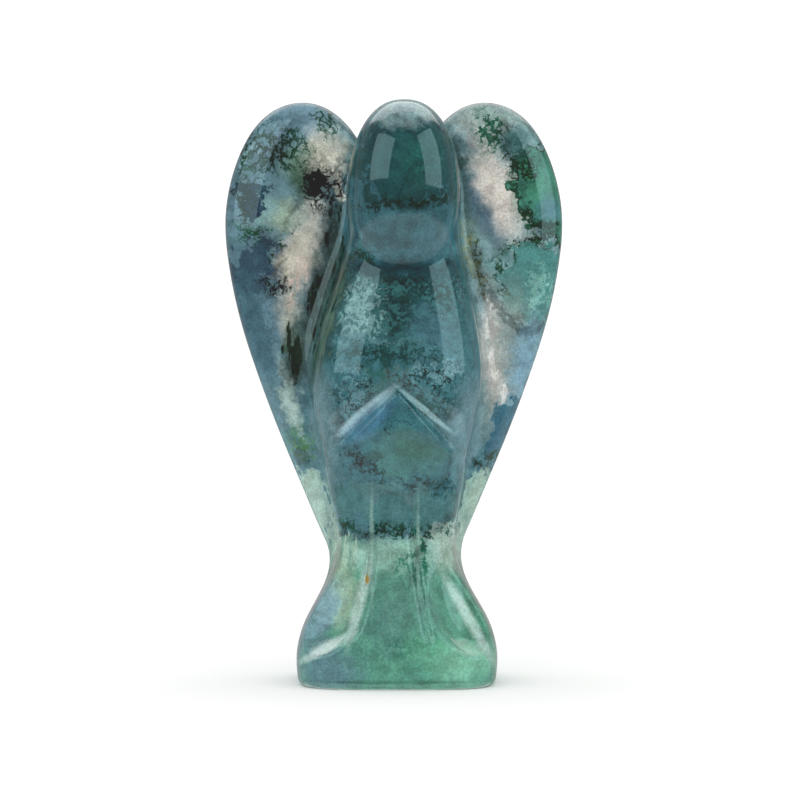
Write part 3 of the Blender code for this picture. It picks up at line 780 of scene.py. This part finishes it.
class Paint:
    """Builds a material's colour from object coordinates, in millimetres."""

    def __init__(self, material: bpy.types.Material) -> None:
        """Start painting.

        Args:
            material: The material to paint.
        """
        self.nodes = material.node_tree.nodes
        self.links = material.node_tree.links
        self.shader = self.nodes["Principled BSDF"]
        coordinates = self.nodes.new("ShaderNodeTexCoord").outputs["Object"]
        self.place = self.vector("SCALE", coordinates, scale=1.0 / MM)

    @staticmethod
    def tone(code: str) -> Tone:
        """Turn a colour code into a shader colour.

        Args:
            code: Red, green and blue as a hash and six hexadecimal digits.

        Returns:
            The colour, ready for a socket.
        """
        parts = [int(code[i : i + 2], 16) / 255 for i in (1, 3, 5)]
        linear = [p / 12.92 if p <= 0.04045 else ((p + 0.055) / 1.055) ** 2.4 for p in parts]
        return (*linear, 1.0)

    def vector(
        self, operation: str, first: Link, second: tuple[float, ...] | Link | None = None, scale: float = 1.0
    ) -> Link:
        """Work on a vector.

        Args:
            operation: The name of the sum to do.
            first: The vector to start from.
            second: A vector to combine it with, plain or linked, if the sum has two.
            scale: The factor, for a plain scaling.

        Returns:
            The result.
        """
        node = self.nodes.new("ShaderNodeVectorMath")
        node.operation = operation
        self.links.new(first, node.inputs[0])
        if operation == "SCALE":
            node.inputs["Scale"].default_value = scale
        elif isinstance(second, tuple):
            node.inputs[1].default_value = second
        elif second is not None:
            self.links.new(second, node.inputs[1])
        return node.outputs["Value" if operation == "LENGTH" else "Vector"]

    def value(self, operation: str, *terms: Link | float) -> Link:
        """Work on plain values.

        Args:
            operation: The name of the sum to do.
            terms: What goes in, plain or linked.

        Returns:
            The result.
        """
        node = self.nodes.new("ShaderNodeMath")
        node.operation = operation
        for term, socket in zip(terms, node.inputs):
            if isinstance(term, float):
                socket.default_value = term
            else:
                self.links.new(term, socket)
        return node.outputs[0]

    def ramp(self, value: Link, low: float, high: float, first: float = 0.0, last: float = 1.0) -> Link:
        """Stretch a value smoothly from one range to another.

        Args:
            value: The value to stretch.
            low: Where the ramp starts.
            high: Where it ends.
            first: What it gives at the start.
            last: What it gives at the end.

        Returns:
            The ramp's value.
        """
        node = self.nodes.new("ShaderNodeMapRange")
        node.interpolation_type = "SMOOTHSTEP"
        self.links.new(value, node.inputs["Value"])
        for name, number in (("From Min", low), ("From Max", high), ("To Min", first), ("To Max", last)):
            node.inputs[name].default_value = number
        return node.outputs["Result"]

    def noise(self, clouds: Clouds, place: Link | None = None) -> Link:
        """Make a cloudy pattern.

        Args:
            clouds: What the pattern is like.
            place: The coordinates, if not the stone's own.

        Returns:
            The pattern, from 0 to 1.
        """
        node = self.nodes.new("ShaderNodeTexNoise")
        self.links.new(place or self.place, node.inputs["Vector"])
        node.inputs["Scale"].default_value = clouds.scale
        node.inputs["Detail"].default_value = clouds.detail
        node.inputs["Roughness"].default_value = clouds.rough
        output = node.outputs["Factor" if "Factor" in node.outputs else "Fac"]
        return self.ramp(output, clouds.low, clouds.high)

    def warped(self, swirls: tuple[tuple[float, float], ...]) -> Link:
        """Swirl the coordinates, so that patches get natural, torn edges.

        Args:
            swirls: The scale and the reach in millimetres of each swirl.

        Returns:
            The swirled coordinates.
        """
        place = self.place
        for scale, reach in swirls:
            node = self.nodes.new("ShaderNodeTexNoise")
            self.links.new(self.place, node.inputs["Vector"])
            node.inputs["Scale"].default_value = scale
            node.inputs["Detail"].default_value = SWIRL_DETAIL
            centred = self.vector("SUBTRACT", node.outputs["Color"], (0.5, 0.5, 0.5))
            place = self.vector("ADD", place, self.vector("SCALE", centred, scale=reach / NOISE_SWING))
        return place

    def mix(self, share: Link, first: Tone | Link, second: Tone | Link) -> Link:
        """Mix two colours.

        Args:
            share: How much of the second colour there is, from 0 to 1.
            first: The first colour, plain or linked.
            second: The second colour, plain or linked.

        Returns:
            The mixed colour.
        """
        node = self.nodes.new("ShaderNodeMix")
        node.data_type = "RGBA"
        self.links.new(share, node.inputs["Factor"])
        sockets = [socket for socket in node.inputs if socket.type == "RGBA"]
        for colour, socket in zip((first, second), sockets, strict=True):
            if isinstance(colour, tuple):
                socket.default_value = colour
            else:
                self.links.new(colour, socket)
        return next(socket for socket in node.outputs if socket.type == "RGBA")

    def scaled(self, colour: Link, share: Link, low: float, high: float) -> Link:
        """Lighten and darken a colour by a pattern.

        Args:
            colour: The colour to change.
            share: The pattern, from 0 to 1.
            low: The factor where the pattern is 0.
            high: The factor where it is 1.

        Returns:
            The changed colour.
        """
        node = self.nodes.new("ShaderNodeVectorMath")
        node.operation = "SCALE"
        self.links.new(colour, node.inputs[0])
        self.links.new(self.ramp(share, 0.0, 1.0, low, high), node.inputs["Scale"])
        return node.outputs["Vector"]

    def enriched(self, colour: Link, richness: float, dark: float) -> Link:
        """Strengthen a colour, and take off the grey that the polish adds by reflection.

        Args:
            colour: The colour to change.
            richness: What to multiply it by.
            dark: What to take off then.

        Returns:
            The richer colour.
        """
        lowered = self.vector("SUBTRACT", self.vector("SCALE", colour, scale=richness), (dark, dark, dark))
        floored = self.vector("MAXIMUM", lowered, (DARKEST, DARKEST, DARKEST))
        return self.vector("MINIMUM", floored, (PALEST, PALEST, PALEST))

    def texture(self, pattern: Pattern) -> Link:
        """Make a pattern that breaks zones up.

        Args:
            pattern: What it is like.

        Returns:
            The pattern, 1 where a zone shows first.
        """
        place = self.vector("MULTIPLY", self.place, (1.0, 1.0, pattern.squeeze))
        clouds = self.noise(pattern.clouds, place)
        if not pattern.thinness:
            return clouds
        beside = self.value("ABSOLUTE", self.value("SUBTRACT", clouds, 0.5))
        return self.value("MULTIPLY_ADD", beside, -pattern.thinness, 1.0)

    def leaned(self, place: Link, tilts: set[int]) -> dict[int, Link]:
        """Turn the coordinates by each tilt that a zone has.

        Adding nothing to them makes them plain vectors once for each tilt, and not once for each zone.

        Args:
            place: The coordinates to turn.
            tilts: The tilts, in degrees.

        Returns:
            The turned coordinates by tilt.
        """
        turned_places = {}
        for tilt in sorted(tilts):
            node = self.nodes.new("ShaderNodeVectorRotate")
            node.rotation_type = "Y_AXIS"
            self.links.new(place, node.inputs["Vector"])
            node.inputs["Angle"].default_value = np.radians(tilt)
            turned_places[tilt] = self.vector("ADD", node.outputs["Vector"], (0.0, 0.0, 0.0))
        return turned_places

    def zone(self, colour: Link, place: Link, textures: dict[Texture, Link], zone: ColourZone) -> Link:
        """Lay one colour zone over a colour.

        Args:
            colour: The colour so far.
            place: The swirled coordinates, turned by the zone's tilt.
            textures: The patterns that break the zones up.
            zone: The zone to lay down.

        Returns:
            The colour with the zone on it.
        """
        turn = np.radians(zone.tilt)
        (x, z), (y, reach) = zone.at, zone.depth
        centre = np.array((x * np.cos(turn) + z * np.sin(turn), y, z * np.cos(turn) - x * np.sin(turn)))
        radii = np.array((zone.radii[0], reach, zone.radii[1]))
        node = self.nodes.new("ShaderNodeVectorMath")
        node.operation = "MULTIPLY_ADD"
        self.links.new(place, node.inputs[0])
        node.inputs[1].default_value = 1.0 / radii
        node.inputs[2].default_value = -centre / radii
        away = self.vector("LENGTH", node.outputs["Vector"])
        share = self.ramp(away, 1.0 - zone.edge, 1.0 + zone.edge, 1.0, 0.0)
        if zone.texture in textures:
            cover, pattern = PATTERNS[zone.texture].cover, textures[zone.texture]
            share = self.ramp(self.value("MULTIPLY_ADD", share, cover, pattern), *PATTERN_EDGE)
        laid = self.mix(share, colour, self.tone(zone.colour))
        laid.node.label = zone.name
        return laid


@dataclass(frozen=True)
class Stone:
    """The whole carved stone."""

    gown: Gown = Gown()
    fillet: float = 1.6 * MM
    neck_fillet: float = 1.3 * MM
    edge_round: float = 0.55 * MM
    skin_voxel: float = 0.26 * MM
    probe: float = 0.01 * MM
    longest_step: float = 0.3 * MM
    gentlest_slope: float = 0.02
    grinding_passes: int = 3
    evening_rounds: int = 2

    def form(self, x: Array, y: Array, z: Array) -> Array:
        """Measure how far points stand from the angel's surface.

        Args:
            x: Sideways places.
            y: Places from front to back.
            z: Heights.

        Returns:
            Distances, negative inside the stone.
        """
        gown = Cuts(self.gown).applied(self.gown.form(x, y, z), x, y, z)
        angel = blended_union(gown, Wings(self.gown).form(x, y, z), self.fillet)
        angel = blended_union(angel, Head(self.gown).form(x, y, z), self.neck_fillet)
        return -blended_union(-angel, z, self.edge_round)

    def slope(self, points: Array) -> Array:
        """Find the direction in which the form's value grows.

        Args:
            points: The points to read.

        Returns:
            The slope at each point.
        """
        slope = np.empty_like(points)
        for axis in range(3):
            step = np.zeros(3)
            step[axis] = self.probe
            slope[:, axis] = self.form(*(points + step).T) - self.form(*(points - step).T)
        return slope / (2 * self.probe)

    def ground(self, points: Array, passes: int) -> Array:
        """Grind points down onto the angel's surface, a small step at a time.

        Args:
            points: The points to move.
            passes: How many steps to take.

        Returns:
            The moved points.
        """
        for _ in range(passes):
            slope = self.slope(points)
            steep = np.maximum((slope**2).sum(1), self.gentlest_slope)
            step = (self.form(*points.T) / steep)[:, None] * slope
            length = np.linalg.norm(step, axis=1, keepdims=True)
            points = points - step * np.minimum(1.0, self.longest_step / np.maximum(length, TINY))
        return points

    def build(self, solid: bpy.types.Object) -> bpy.types.Object:
        """Carve the stone's fine skin from the CAD solid.

        Args:
            solid: The CAD node to start from.

        Returns:
            The finished stone, without its material.
        """
        holder = bpy.data.objects.new("blank", solid.data.copy())
        bpy.context.scene.collection.objects.link(holder)
        remesh = holder.modifiers.new("Skin", "REMESH")
        remesh.mode = "VOXEL"
        remesh.voxel_size = self.skin_voxel
        graph = bpy.context.evaluated_depsgraph_get()
        skin = bpy.data.meshes.new_from_object(holder.evaluated_get(graph))
        bpy.data.objects.remove(holder)
        points = self.ground(points_of(skin), self.grinding_passes)
        ends = np.array([edge.vertices[:] for edge in skin.edges])
        here, there = np.concatenate([ends, ends[:, ::-1]]).T
        neighbours = np.bincount(here, minlength=len(points))[:, None]
        for _ in range(self.evening_rounds):
            around = np.stack([np.bincount(here, points[there, axis], len(points)) for axis in range(3)], 1)
            points = self.ground(0.5 * (points + around / neighbours), passes=1)
        set_points(skin, points)
        skin.name = "angel_stone"
        skin.materials.clear()
        skin.shade_smooth()
        skin.normals_split_custom_set_from_vertices(self.slope(points).tolist())
        stone = bpy.data.objects.new("angel_stone", skin)
        bpy.context.scene.collection.objects.link(stone)
        return stone


class Lie(Enum):
    """Which way a moss growth's strands set out."""

    ALL_ROUND = (0.0, 0.0, 0.0)
    DOWN = (0.0, 0.0, -1.0)
    UP = (0.0, 0.0, 1.0)


@dataclass(frozen=True)
class MossGrowth:
    """A tuft or fringe of moss sealed in the stone, with places and sizes in millimetres.

    The path is seen from the front. Strands start beside it, just under the front surface.
    """

    name: str
    path: tuple[tuple[float, float], ...]
    strands: int
    length: float
    spread: float
    seed: int
    lie: Lie = Lie.ALL_ROUND
    depth: tuple[float, float] = (0.35, 1.0)
    thickness: float = 0.12
    buds: int = 0
    steps: int = 9
    wander: float = 0.55


MOSS_GROWTHS = (
    MossGrowth("left_wing_moss", ((-11.6, 44.4), (-10.4, 46.2), (-9.3, 47.2)), 120, 1.5, 0.9, 1, buds=90),
    MossGrowth("left_wing_black_moss", ((-7.4, 43.3), (-6.2, 43.0), (-5.6, 41.9)), 120, 1.4, 0.6, 2,
               thickness=0.09, buds=120),
    MossGrowth("left_wing_veil", ((-13.6, 42.4), (-12.3, 42.0), (-12.0, 40.4), (-12.9, 38.7)), 60, 0.8,
               0.2, 3),
    MossGrowth("left_wing_curl", ((-13.0, 38.0), (-12.0, 38.6), (-11.2, 38.2)), 40, 1.2, 0.4, 4,
               thickness=0.09, buds=20),
    MossGrowth("left_wing_edge", ((-10.9, 38.0), (-9.9, 37.0), (-10.2, 35.6), (-10.9, 34.6)), 70, 0.9,
               0.2, 5),
    MossGrowth("left_wing_line", ((-9.6, 39.6), (-8.7, 40.6), (-8.0, 41.6)), 30, 0.8, 0.15, 6),
    MossGrowth("left_wing_twig", ((-11.8, 34.4), (-10.7, 34.0), (-9.3, 34.0)), 36, 1.2, 0.3, 7),
    MossGrowth("left_wing_fringe", ((-9.6, 26.9), (-8.7, 27.3), (-7.9, 26.9)), 60, 2.0, 0.3, 8, Lie.DOWN,
               wander=0.25),
    MossGrowth("left_wing_seam", ((-5.8, 41.3), (-6.0, 38.0), (-7.0, 34.0), (-7.8, 29.0)), 130, 1.8, 0.35, 9,
               Lie.DOWN, wander=0.3),
    MossGrowth("left_wing_green_foot", ((-8.6, 19.4), (-7.6, 18.6)), 40, 1.2, 0.3, 10, Lie.UP),
    MossGrowth("right_wing_rim", ((8.9, 47.4), (9.6, 45.6), (10.6, 43.6), (10.9, 41.0), (12.4, 38.7),
                                  (14.0, 39.0)), 150, 1.0, 0.35, 11, buds=80),
    MossGrowth("right_wing_crest", ((8.4, 47.2), (9.4, 48.0)), 40, 1.3, 0.4, 12, Lie.DOWN),
    MossGrowth("right_wing_olive", ((6.7, 37.8), (7.0, 35.8), (7.2, 33.0)), 90, 1.6, 0.3, 13, Lie.DOWN,
               wander=0.3, buds=20),
    MossGrowth("right_wing_hem", ((8.0, 34.0), (9.0, 31.6), (11.0, 30.0), (12.4, 30.3)), 110, 0.9, 0.3, 14,
               buds=30),
    MossGrowth("right_wing_shelf", ((10.2, 37.9), (12.2, 38.1), (13.8, 38.3)), 60, 0.5, 0.12, 15),
    MossGrowth("right_wing_foot", ((6.4, 19.2), (7.6, 18.3), (8.6, 18.2)), 60, 0.7, 0.15, 16, Lie.DOWN),
    MossGrowth("head_line", ((-3.6, 42.2), (-1.8, 41.4), (0.6, 40.9), (3.2, 41.3), (5.0, 42.0)), 160, 0.9,
               0.25, 17, buds=60),
    MossGrowth("head_specks", ((-3.0, 43.6), (0.6, 42.6), (3.4, 43.4)), 70, 0.7, 0.8, 18, thickness=0.05),
    MossGrowth("collar", ((-3.4, 35.6), (-0.6, 34.6), (2.6, 34.8)), 110, 0.9, 0.3, 19, thickness=0.05),
    MossGrowth("chest_veins", ((-3.8, 31.4), (-0.4, 32.6), (2.0, 31.0), (4.4, 33.0)), 130, 1.2, 1.0, 20,
               thickness=0.045),
    MossGrowth("chest_line", ((-5.4, 28.9), (-1.8, 28.7), (1.6, 28.0), (5.2, 27.2)), 140, 1.0, 0.3, 21,
               thickness=0.05),
    MossGrowth("hip_thread", ((-4.9, 25.6), (-4.7, 23.2), (-4.9, 21.2)), 60, 0.9, 0.3, 22),
    MossGrowth("right_side_branches", ((2.2, 23.6), (4.2, 23.2), (5.6, 23.6)), 70, 1.2, 0.4, 23,
               thickness=0.05),
    MossGrowth("cloud_stroke", ((-3.6, 18.7), (-2.6, 19.6), (-1.2, 20.1)), 80, 0.8, 0.25, 24, buds=30),
    MossGrowth("cloud_outline", ((-2.0, 17.2), (0.0, 16.5), (2.4, 16.7), (4.2, 18.0), (4.6, 19.8)), 120, 0.6,
               0.18, 25, thickness=0.05),
    MossGrowth("belt_fringe", ((-4.8, 13.0), (-3.4, 12.8), (-0.4, 13.2), (2.2, 12.7), (3.9, 14.0),
                               (5.4, 15.1)), 200, 0.8, 0.22, 26, buds=60),
    MossGrowth("belt_root", ((2.3, 12.4), (1.6, 10.6), (1.2, 8.6)), 60, 0.8, 0.2, 27, Lie.DOWN),
)


@dataclass(frozen=True)
class Moss:
    """Grows the sealed moss inside the stone."""

    stone: Stone
    margin: float = 0.12 * MM
    front_search: tuple[float, float, int] = (-9.0 * MM, 8.0 * MM, 140)
    branch_share: float = 0.75
    branch_lengths: tuple[float, ...] = (0.6, 0.35)
    flatness: tuple[float, float, float] = (1.0, 0.45, 1.0)
    lie_pull: float = 1.6
    pace: tuple[float, float] = (0.4, 1.0)
    girth: tuple[float, float] = (0.5, 1.2)
    tip_girth: float = 0.25
    bud_size: tuple[float, float] = (0.8, 2.2)
    bud_lumps: tuple[float, float] = (0.7, 1.2)
    sides: int = 3
    tube_dice: int = 1000

    def front_of(self, x: Array, z: Array) -> Array:
        """Find where the stone's front surface stands behind each place seen from the front.

        Args:
            x: Sideways places.
            z: Heights.

        Returns:
            The front surface's depth at each place.
        """
        steps = np.linspace(*self.front_search)
        inside = np.stack([self.stone.form(x, np.full_like(x, y), z) < 0 for y in steps])
        return steps[np.argmax(inside, axis=0)]

    def strands_of(self, growth: MossGrowth) -> tuple[Array, Array]:
        """Grow one tuft's strands.

        Args:
            growth: The tuft to grow.

        Returns:
            The strands' points, by step and strand, and whether each is still inside the stone.
        """
        dice = np.random.default_rng(growth.seed)
        path = np.array(growth.path) * MM
        marks = dice.uniform(0, len(path) - 1, growth.strands)
        legs = np.minimum(marks.astype(int), len(path) - 2)
        starts = path[legs] + (path[legs + 1] - path[legs]) * (marks - legs)[:, None]
        starts += dice.normal(0, 0.5 * growth.spread * MM, starts.shape)
        under = dice.uniform(*growth.depth, growth.strands) * MM
        front = self.front_of(starts[:, 0], starts[:, 1]) + under
        place = np.stack([starts[:, 0], front, starts[:, 1]], 1)
        lines = [self.walk(dice, place, growth, growth.length)]
        for share in self.branch_lengths:
            trunk = lines[-1]
            count = int(self.branch_share * trunk.shape[1])
            steps = dice.integers(1, growth.steps - 1, count)
            forks = trunk[steps, dice.integers(0, trunk.shape[1], count)]
            lines.append(self.walk(dice, forks, growth, share * growth.length))
        points = np.concatenate(lines, 1)
        flat = points.reshape(-1, 3)
        inside = (self.stone.form(*flat.T) < -self.margin).reshape(points.shape[:2])
        return points, np.logical_and.accumulate(inside, axis=0)

    def walk(self, dice: np.random.Generator, place: Array, growth: MossGrowth, length: float) -> Array:
        """Let strands wander from where they start.

        Args:
            dice: The growth's own dice.
            place: Where each strand starts.
            growth: The tuft they belong to.
            length: How long the longest strand is, in millimetres.

        Returns:
            The strands' points, by step and strand.
        """
        count = len(place)
        heading = dice.normal(0, 1, (count, 3)) * self.flatness
        heading = heading / np.linalg.norm(heading, axis=1, keepdims=True)
        heading = heading + self.lie_pull * np.array(growth.lie.value)
        stride = length * MM / growth.steps * dice.uniform(*self.pace, (count, 1))
        points = [place]
        for _ in range(growth.steps):
            heading = heading + growth.wander * dice.normal(0, 1, (count, 3)) * self.flatness
            heading = heading / np.linalg.norm(heading, axis=1, keepdims=True)
            points.append(points[-1] + stride * heading)
        return np.stack(points)

    def tubes(
        self, dice: np.random.Generator, points: Array, inside: Array, thickness: float
    ) -> tuple[Array, Array]:
        """Lay fine tapering tubes along the strands.

        Args:
            dice: The tubes' own dice.
            points: The strands' points, by step and strand.
            inside: Whether each point is still inside the stone.
            thickness: How thick the strands are, in millimetres.

        Returns:
            The tubes' corners, and the four corners of each face.
        """
        steps, count = inside.shape
        forward = np.gradient(points, axis=0)
        forward /= np.linalg.norm(forward, axis=2, keepdims=True) + TINY
        side = np.cross(forward, dice.normal(0, 1, (1, count, 3)))
        side /= np.linalg.norm(side, axis=2, keepdims=True) + TINY
        other = np.cross(forward, side)
        radius = thickness * MM * dice.uniform(*self.girth, (1, count, 1))
        radius = radius * np.linspace(1.0, self.tip_girth, steps)[:, None, None]
        angles = 2 * np.pi * np.arange(self.sides) / self.sides
        rings = [points + radius * (np.cos(angle) * side + np.sin(angle) * other) for angle in angles]
        corners = np.stack(rings, 2).reshape(-1, 3)
        step, strand = np.nonzero(inside[1:] & inside[:-1])
        base = (step * count + strand) * self.sides
        above = base + count * self.sides
        faces = []
        for k in range(self.sides):
            n = (k + 1) % self.sides
            faces.append(np.stack([base + k, base + n, above + n, above + k], 1))
        used, quads = np.unique(np.concatenate(faces), return_inverse=True)
        return corners[used], quads.reshape(-1, 4)

    def grow(self, growth: MossGrowth) -> bpy.types.Object:
        """Build one tuft as a mesh of strands and buds.

        Args:
            growth: The tuft to build.

        Returns:
            The tuft, without its material.
        """
        points, inside = self.strands_of(growth)
        dice = np.random.default_rng(growth.seed + self.tube_dice)
        corners, quads = self.tubes(dice, points, inside, growth.thickness)
        mesh = bpy.data.meshes.new(growth.name)
        mesh.from_pydata(corners.tolist(), [], quads.tolist())
        skin = bmesh.new()
        skin.from_mesh(mesh)
        spots = points[inside]
        for spot in spots[dice.integers(0, len(spots), growth.buds)]:
            bud = bmesh.ops.create_icosphere(skin, subdivisions=1, radius=1.0)["verts"]
            size = dice.uniform(*self.bud_size, 3) * growth.thickness * MM
            for vert in bud:
                vert.co = Vector(spot) + Vector(np.array(vert.co) * size * dice.uniform(*self.bud_lumps))
        skin.to_mesh(mesh)
        skin.free()
        mesh.shade_smooth()
        tuft = bpy.data.objects.new(growth.name, mesh)
        bpy.context.scene.collection.objects.link(tuft)
        return tuft


@dataclass(frozen=True)
class SoftBox:
    """A soft light, aimed at the middle of the angel.

    Angles are in degrees, and an azimuth is 0 in front and 90 at the viewer's right. It is seen in
    reflections and through the stone alone, so the table stays evenly white.
    """

    name: str
    azimuth: float
    elevation: float
    distance: float
    size: tuple[float, float]
    glow: float
    tone: str = "#ffffff"

    def build(self, target: Vector) -> None:
        """Hang the light.

        Args:
            target: The point it faces.
        """
        turn, lift = np.radians(self.azimuth), np.radians(self.elevation)
        away = Vector((np.sin(turn) * np.cos(lift), -np.cos(turn) * np.cos(lift), np.sin(lift)))
        lamp = bpy.data.lights.new(self.name, "AREA")
        lamp.shape = "RECTANGLE"
        lamp.size, lamp.size_y = self.size
        lamp.color = Paint.tone(self.tone)[:3]
        lamp.energy = self.glow * np.pi * self.size[0] * self.size[1]
        holder = bpy.data.objects.new(self.name, lamp)
        holder.location = target + away * self.distance
        holder.rotation_mode = "QUATERNION"
        holder.rotation_quaternion = away.to_track_quat("Z", "Y")
        holder.visible_diffuse = False
        bpy.context.scene.collection.objects.link(holder)


@dataclass(frozen=True)
class Studio:
    """A white table in a white room, with the camera where the photograph was taken.

    In reflections the room is dimmer, so that the soft boxes stand out, and the table ends near the angel.
    Floor edge is where it fades out, as the height of the direction looked in, from -1 to 1.
    """

    width_in_view: float = 68.85 * MM
    distance: float = 420.0 * MM
    elevation: float = np.radians(3.0)
    middle: tuple[float, float, float] = (0.34 * MM, 0.0, 24.26 * MM)
    sensor: float = 36.0
    clip: tuple[float, float] = (0.01, 10.0)
    room_white: float = 1.14
    room_sheen: float = 0.4
    floor_sheen: float = 1.0
    floor_edge: tuple[float, float] = (-0.38, -0.33)
    table_radius: float = 2.0
    table_corners: int = 96
    table_tone: str = "#fbfbfa"
    soft_boxes: tuple[SoftBox, ...] = (
        SoftBox("left_soft_box", -48.0, 24.0, 0.5, (0.45, 0.38), 2.6, "#bfe4ea"),
        SoftBox("right_soft_box", 60.0, 23.0, 0.5, (0.44, 0.46), 2.6, "#bfe4ea"),
        SoftBox("back_soft_box", 180.0, 58.0, 0.6, (1.0, 0.6), 1.6),
    )

    def build(self) -> None:
        """Set up the table, the lights, the room and the camera."""
        self.lay_table()
        self.light_room()
        for soft_box in self.soft_boxes:
            soft_box.build(Vector(self.middle))
        self.place_camera()

    def lay_table(self) -> None:
        """Lay the white table top."""
        top = bpy.data.meshes.new("table")
        shape = bmesh.new()
        bmesh.ops.create_circle(shape, cap_ends=True, segments=self.table_corners, radius=self.table_radius)
        shape.to_mesh(top)
        shape.free()
        table = bpy.data.objects.new("table", top)
        bpy.context.scene.collection.objects.link(table)
        finish = bpy.data.materials.new("table_white")
        finish.use_nodes = True
        shader = finish.node_tree.nodes["Principled BSDF"]
        shader.inputs["Base Color"].default_value = Paint.tone(self.table_tone)
        shader.inputs["Roughness"].default_value = 1.0
        shader.inputs["Specular IOR Level"].default_value = 0.0
        top.materials.append(finish)
        table.visible_glossy = False

    def light_room(self) -> None:
        """Fill the room with white light, with a dimmer room and a near table in reflections."""
        world = bpy.data.worlds.new("white_room")
        world.use_nodes = True
        nodes, links = world.node_tree.nodes, world.node_tree.links
        background = nodes["Background"]
        background.inputs["Color"].default_value = (1.0, 1.0, 1.0, 1.0)
        path = nodes.new("ShaderNodeLightPath")
        mirrored = nodes.new("ShaderNodeMath")
        mirrored.operation = "SUBTRACT"
        links.new(path.outputs["Is Glossy Ray"], mirrored.inputs[0])
        links.new(path.outputs["Is Transmission Ray"], mirrored.inputs[1])
        direction = nodes.new("ShaderNodeTexCoord")
        parts = nodes.new("ShaderNodeSeparateXYZ")
        links.new(direction.outputs["Generated"], parts.inputs["Vector"])
        sheen = nodes.new("ShaderNodeMapRange")
        links.new(parts.outputs["Z"], sheen.inputs["Value"])
        sheen.inputs["From Min"].default_value, sheen.inputs["From Max"].default_value = self.floor_edge
        sheen.inputs["To Min"].default_value = self.floor_sheen
        sheen.inputs["To Max"].default_value = self.room_sheen
        glow = nodes.new("ShaderNodeMapRange")
        links.new(mirrored.outputs[0], glow.inputs["Value"])
        glow.inputs["To Min"].default_value = self.room_white
        links.new(sheen.outputs["Result"], glow.inputs["To Max"])
        links.new(glow.outputs["Result"], background.inputs["Strength"])
        bpy.context.scene.world = world

    def place_camera(self) -> None:
        """Put the camera at the photograph's viewpoint."""
        camera = bpy.data.cameras.new("camera")
        camera.sensor_width = self.sensor
        camera.lens = self.sensor * self.distance / self.width_in_view
        camera.clip_start, camera.clip_end = self.clip
        holder = bpy.data.objects.new("camera", camera)
        back = Vector((0.0, -np.cos(self.elevation), np.sin(self.elevation)))
        holder.location = Vector(self.middle) + back * self.distance
        holder.rotation_euler = back.to_track_quat("Z", "Y").to_euler()
        bpy.context.scene.collection.objects.link(holder)
        bpy.context.scene.camera = holder
        bpy.context.scene.view_settings.view_transform = "Standard"


def main() -> None:
    """Dress the angel and set up the studio."""
    logging.basicConfig(level=logging.INFO, format="%(name)s: %(message)s")
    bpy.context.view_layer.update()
    stone = Stone()
    skin = stone.build(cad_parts["angel"])
    skin.data.materials.append(AgateFinish().material())
    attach(skin, "root")
    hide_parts("angel")
    LOG.info("%s: %d faces", skin.name, len(skin.data.polygons))
    moss, finish = Moss(stone), MossFinish().material()
    for growth in MOSS_GROWTHS:
        tuft = moss.grow(growth)
        tuft.data.materials.append(finish)
        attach(tuft, "root")
        LOG.info("%s: %d faces", tuft.name, len(tuft.data.polygons))
    Studio().build()


if __name__ == "__main__":
    main()
